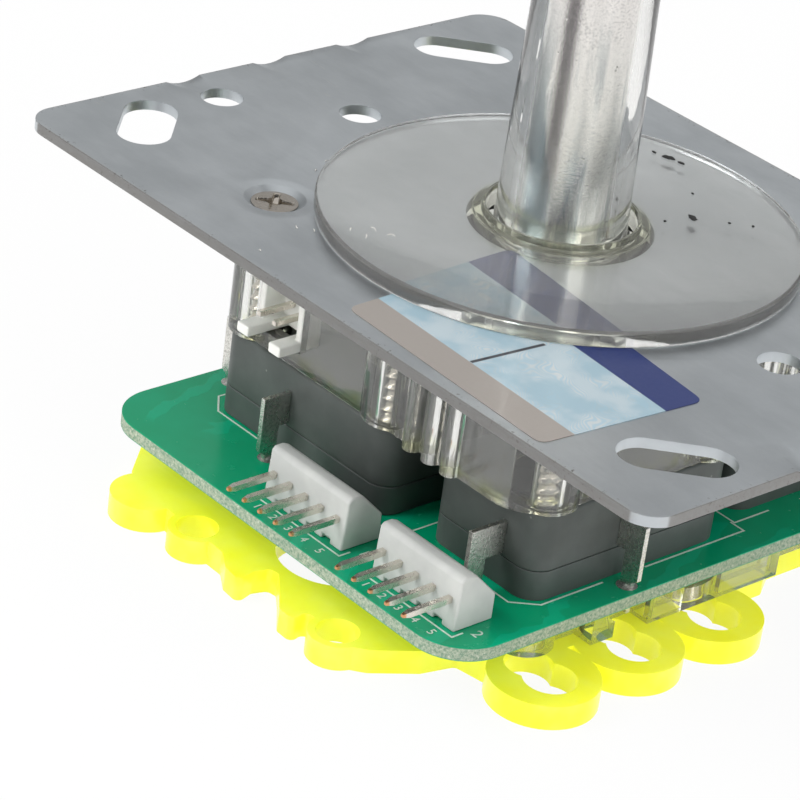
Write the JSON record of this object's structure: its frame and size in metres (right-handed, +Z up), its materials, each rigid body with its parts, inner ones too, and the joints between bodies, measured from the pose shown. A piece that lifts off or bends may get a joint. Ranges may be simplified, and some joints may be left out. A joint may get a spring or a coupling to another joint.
{
  "type": "arcade joystick lever",
  "caption": "Arcade joystick lever: steel mounting plate, clear housing, gimballed shaft with ball top, microswitches, main board and restrictor gate.",
  "frame": {"origin": "middle of the restrictor gate's flat underside, on the shaft axis", "axes": "+Z up the shaft, +X along the long side of the mounting plate, -Y towards the board headers"},
  "size_m": [0.0984, 0.08, 0.1125],
  "materials": {
    "plate": "satin",
    "screw_steel": "satin",
    "shaft_steel": "polished",
    "tinned": "satin",
    "clear_plastic": "gloss",
    "white_nylon": "satin",
    "switch_grey": "matte",
    "black_plastic": "satin",
    "green_board": "gloss",
    "yellow_plastic": "gloss",
    "ball_plastic": "gloss"
  },
  "bodies": {
    "base": {"mounting_plate": "plate", "plate_screws": "screw_steel", "dust_washer": "clear_plastic", "clear_housing": "clear_plastic", "pivot_seat": "white_nylon", "main_board": "green_board", "header_1_block": "white_nylon", "header_1_pins": "tinned", "header_2_block": "white_nylon", "header_2_pins": "tinned", "light_board": "green_board", "light_header": "white_nylon", "light_header_pins": "tinned", "lower_frame": "clear_plastic", "frame_screws": "screw_steel", "restrictor_gate": "yellow_plastic", "switch_right_case": "switch_grey", "switch_right_cover": "switch_grey", "switch_right_tabs": "tinned", "switch_rear_case": "switch_grey", "switch_rear_cover": "switch_grey", "switch_rear_tabs": "tinned", "switch_left_case": "switch_grey", "switch_left_cover": "switch_grey", "switch_left_tabs": "tinned", "switch_front_case": "switch_grey", "switch_front_cover": "switch_grey", "switch_front_tabs": "tinned"},
    "rocker": {"pivot_rocker": "white_nylon"},
    "lever": {"shaft": "shaft_steel", "shaft_cover": "clear_plastic", "ball_top": "ball_plastic", "cross_pin": "shaft_steel", "actuator": "black_plastic", "retaining_clip": "shaft_steel", "return_spring": "shaft_steel"},
    "plunger_right": {"switch_right_plunger": "black_plastic"},
    "plunger_rear": {"switch_rear_plunger": "black_plastic"},
    "plunger_left": {"switch_left_plunger": "black_plastic"},
    "plunger_front": {"switch_front_plunger": "black_plastic"}
  },
  "joints": [
    {"name": "tilt_front_rear", "type": "hinge", "parent": "base", "child": "rocker", "pos_m": [0, 0, 0.0295], "axis": [1, 0, 0], "range_deg": [-5.5, 5.5], "stiffness_Nm_per_rad": 1.2, "deforming": ["return_spring"]},
    {"name": "tilt_left_right", "type": "hinge", "parent": "rocker", "child": "lever", "pos_m": [0, 0, 0.0295], "axis": [0, 1, 0], "range_deg": [-5.5, 5.5], "stiffness_Nm_per_rad": 1.2, "deforming": ["return_spring"]},
    {"name": "press_right", "type": "slide", "parent": "base", "child": "plunger_right", "axis": [1, 0, 0], "range_m": [-0.00146, 0.00146]},
    {"name": "press_rear", "type": "slide", "parent": "base", "child": "plunger_rear", "axis": [0, 1, 0], "range_m": [-0.00146, 0.00146]},
    {"name": "press_left", "type": "slide", "parent": "base", "child": "plunger_left", "axis": [-1, 0, 0], "range_m": [-0.00146, 0.00146]},
    {"name": "press_front", "type": "slide", "parent": "base", "child": "plunger_front", "axis": [0, -1, 0], "range_m": [-0.00146, 0.00146]}
  ],
  "couplings": [
    {"joint": "press_right", "follows": "tilt_left_right", "m_per_rad": -0.01505},
    {"joint": "press_rear", "follows": "tilt_front_rear", "m_per_rad": 0.01505},
    {"joint": "press_left", "follows": "tilt_left_right", "m_per_rad": 0.01505},
    {"joint": "press_front", "follows": "tilt_front_rear", "m_per_rad": -0.01505}
  ]
}
